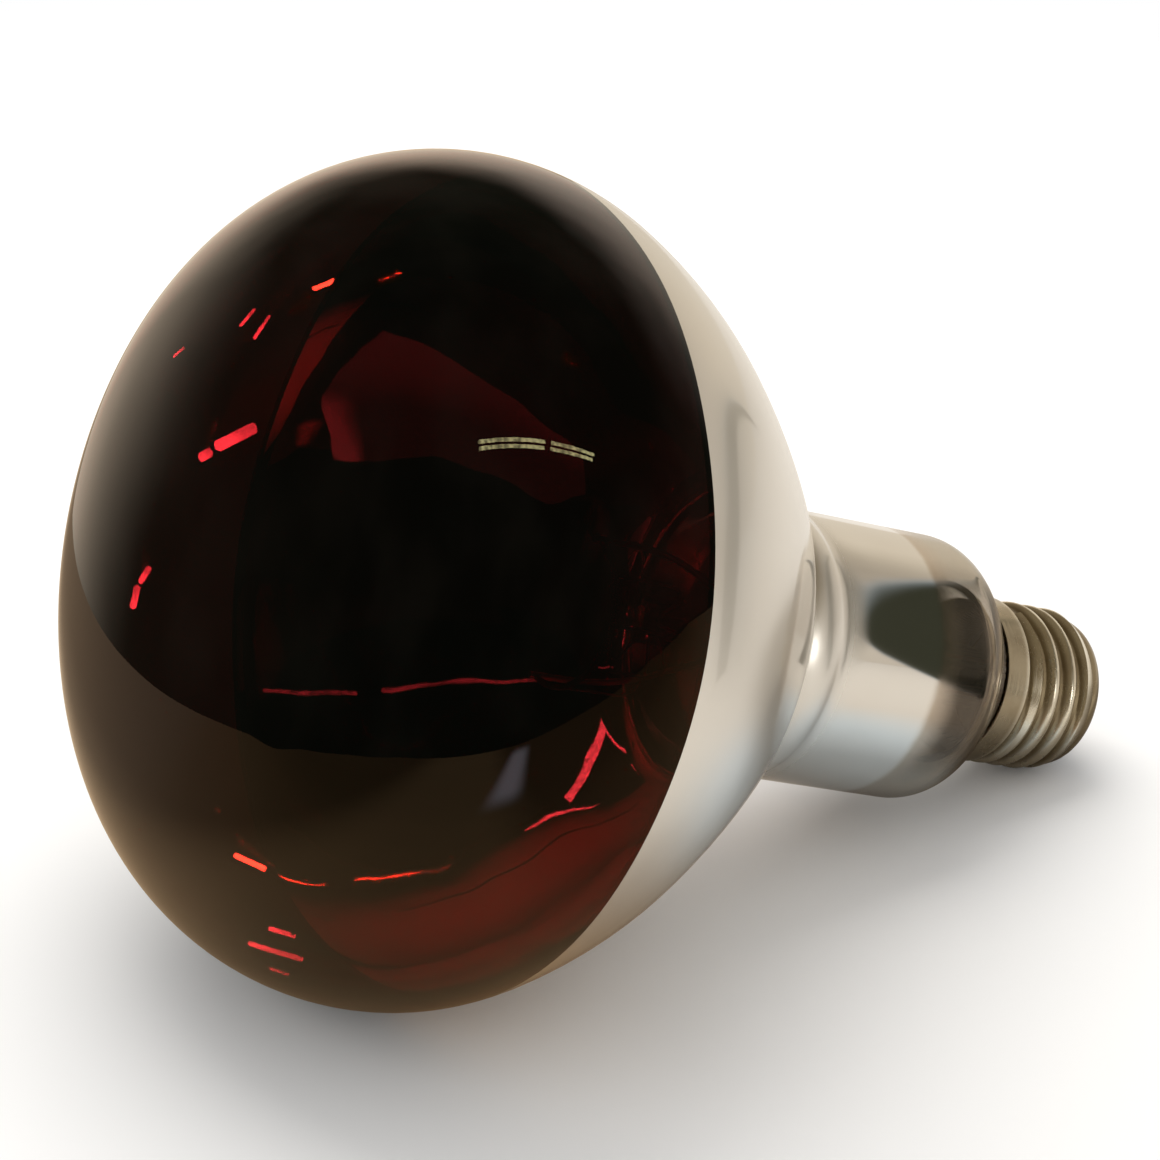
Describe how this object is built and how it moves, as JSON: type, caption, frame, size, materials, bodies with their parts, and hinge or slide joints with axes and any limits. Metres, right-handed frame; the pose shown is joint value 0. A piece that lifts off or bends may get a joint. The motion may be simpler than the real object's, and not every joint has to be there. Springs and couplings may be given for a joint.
{
  "type": "infrared heat lamp bulb",
  "caption": "Reflector heat lamp: blown glass bulb with a ruby face and mirrored funnel and neck, on a rolled screw cap with a centre contact.",
  "frame": {"origin": "tip of the centre contact, on the lamp's axis", "axes": "+Z runs along the lamp's axis from the glass face to the cap, so the lamp hangs face down; +X and +Y are square to it, and the inner leads lie in the XZ plane"},
  "size_m": [0.125, 0.125, 0.175],
  "materials": {
    "bulb_glass": "ruby-stained face, mirror-coated funnel and neck, clear shoulder",
    "clear_glass": "clear lead glass, fire-polished",
    "black_glass": "moulded black insulating glass",
    "cap_metal": "nickel-plated, rolled and slightly toned",
    "contact_brass": "stamped brass, lightly worn",
    "solder": "dull tin solder, pressed flat",
    "cement": "baked tan resin cement",
    "lead_nickel": "drawn nickel wire",
    "lead_copper": "drawn copper wire",
    "tungsten": "drawn tungsten, dark grey",
    "shield_metal": "pressed bright sheet"
  },
  "bodies": {
    "root": {"glass_envelope": "bulb_glass", "stem_flare": "clear_glass", "exhaust_tube": "clear_glass", "button_rod": "clear_glass", "cap_insulator": "black_glass", "cap_shell": "cap_metal", "centre_contact": "contact_brass", "centre_solder": "solder", "cap_cement": "cement", "inner_lead_right": "lead_nickel", "inner_lead_left": "lead_nickel", "contact_lead": "lead_copper", "shell_lead": "lead_copper", "filament": "tungsten", "filament_support_1": "tungsten", "filament_support_2": "tungsten", "filament_support_3": "tungsten", "filament_support_4": "tungsten", "heat_shield": "shield_metal"}
  },
  "joints": []
}
